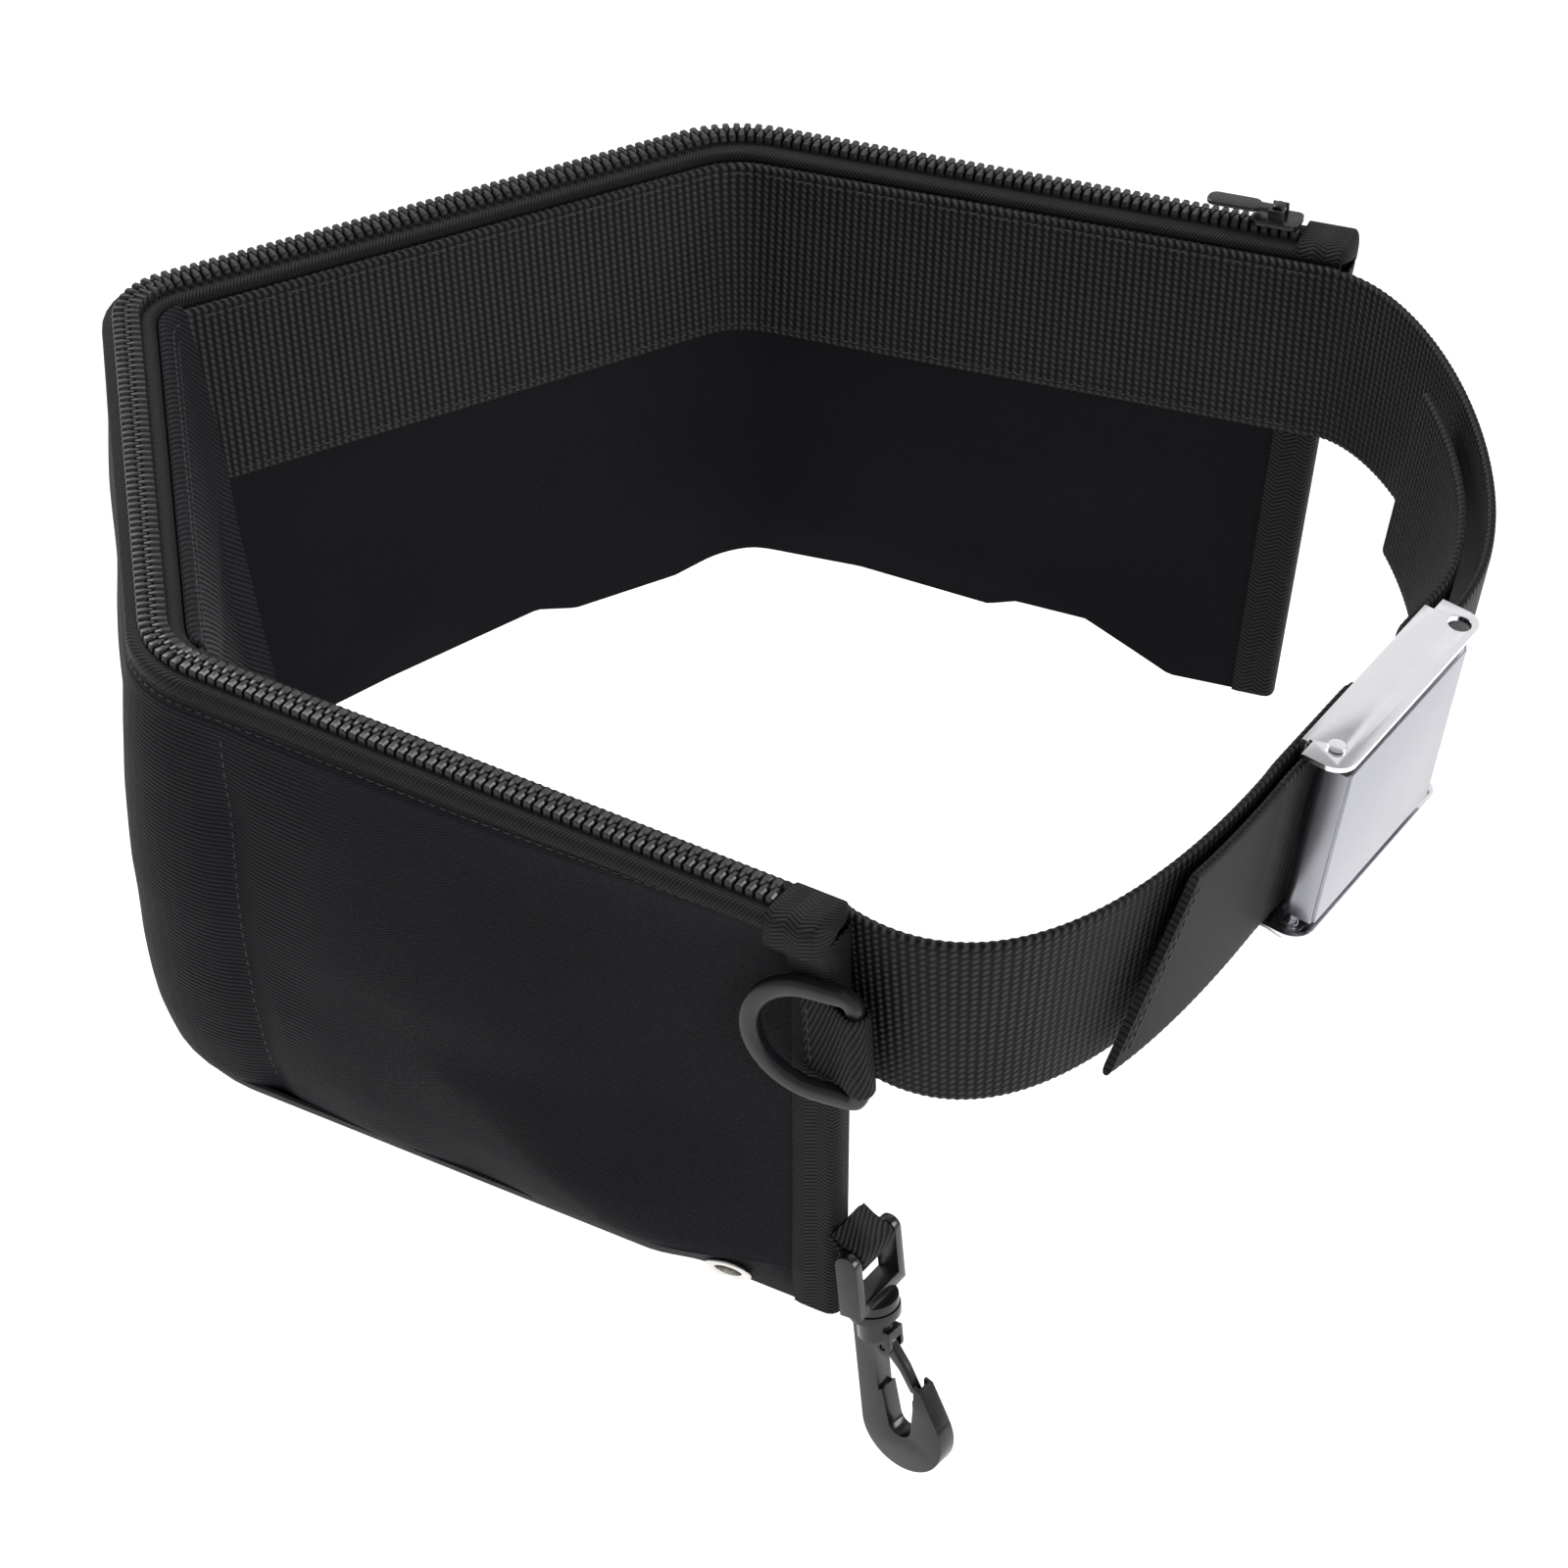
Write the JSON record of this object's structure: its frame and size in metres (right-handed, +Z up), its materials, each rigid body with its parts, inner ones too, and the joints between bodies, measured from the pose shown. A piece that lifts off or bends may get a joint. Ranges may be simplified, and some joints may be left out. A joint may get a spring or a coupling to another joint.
{
  "type": "dive weight belt",
  "caption": "Folded zipped pouch with compartments for weights on a webbing belt, with a quick-release lever buckle, a D-ring and a swivel snap hook.",
  "frame": {"origin": "middle of the waist opening, level with the bottom of the pouch", "axes": "+Z up along the wearer's body, +Y towards the far compartment where the zip closes, +X towards the buckle"},
  "size_m": [0.3604, 0.3719, 0.1819],
  "materials": {
    "shell_cloth": "fine ribbed coated nylon, near black",
    "lining_cloth": "smooth woven lining, near black",
    "binding_tape": "ribbed woven tape",
    "webbing": "coarse woven nylon webbing, black",
    "thread": "twisted black thread",
    "zip_plastic": "moulded acetal, black",
    "ring_plastic": "satin moulded nylon, dark grey",
    "hook_plastic": "glossy moulded acetal, black",
    "stainless": "polished stainless sheet",
    "eyelet_metal": "nickel-plated brass, satin"
  },
  "bodies": {
    "belt": {"outer_panel": "shell_cloth", "inner_panel": "lining_cloth", "bottom_panel": "shell_cloth", "wall_near_left": "lining_cloth", "wall_left_back": "lining_cloth", "wall_back_far": "lining_cloth", "webbing_cover": "shell_cloth", "end_binding_near": "binding_tape", "end_binding_far": "binding_tape", "zip_tape_outer": "binding_tape", "zip_tape_inner": "binding_tape", "zip_teeth_outer": "zip_plastic", "zip_teeth_inner": "zip_plastic", "zip_end_tab_near": "binding_tape", "zip_end_tab_far": "binding_tape", "belt_webbing": "webbing", "d_ring_loop": "webbing", "clip_loop": "webbing", "drain_eyelets": "eyelet_metal", "eyelet_washers": "eyelet_metal", "buckle_base": "stainless", "lever_pin": "stainless", "tail_stitching": "thread"},
    "slider": {"zip_slider": "zip_plastic"},
    "pull": {"zip_pull": "zip_plastic"},
    "ring": {"d_ring": "ring_plastic"},
    "eye": {"swivel_eye": "hook_plastic"},
    "hook": {"hook_body": "hook_plastic"},
    "gate": {"hook_gate": "hook_plastic"},
    "lever": {"buckle_lever": "stainless"}
  },
  "joints": [
    {"name": "zip_slide", "type": "slide", "parent": "belt", "child": "slider", "axis": [-0.9397, 0.342, 0], "range_m": [0, 0.13]},
    {"name": "pull_flip", "type": "hinge", "parent": "slider", "child": "pull", "pos_m": [0.13791, 0.11814, 0.1425], "axis": [0.342, 0.9397, 0], "range_deg": [0, 150]},
    {"name": "ring_swing", "type": "hinge", "parent": "belt", "child": "ring", "pos_m": [0.0214, -0.18914, 0.09792], "axis": [-0.0617, -0.0949, 0.9936], "range_deg": [0, 150]},
    {"name": "lever_open", "type": "hinge", "parent": "belt", "child": "lever", "pos_m": [0.13124, -0.11755, 0.10697], "axis": [-0.1336, 0.0814, -0.9877], "range_deg": [0, 90]},
    {"name": "hook_swing", "type": "hinge", "parent": "belt", "child": "eye", "pos_m": [0.02459, -0.1735, 0.02584], "axis": [-0.5446, -0.8387, 0], "range_deg": [-4, 70]},
    {"name": "hook_swivel", "type": "hinge", "parent": "eye", "child": "hook", "pos_m": [0.02459, -0.1735, 0.02584], "axis": [-0.0877, 0.0569, 0.9945], "continuous": true},
    {"name": "gate_open", "type": "hinge", "parent": "hook", "child": "gate", "pos_m": [0.02985, -0.17729, -0.00143], "axis": [0.6153, 0.7883, 0.0091], "range_deg": [0, 22], "stiffness_Nm_per_rad": 0.05}
  ]
}
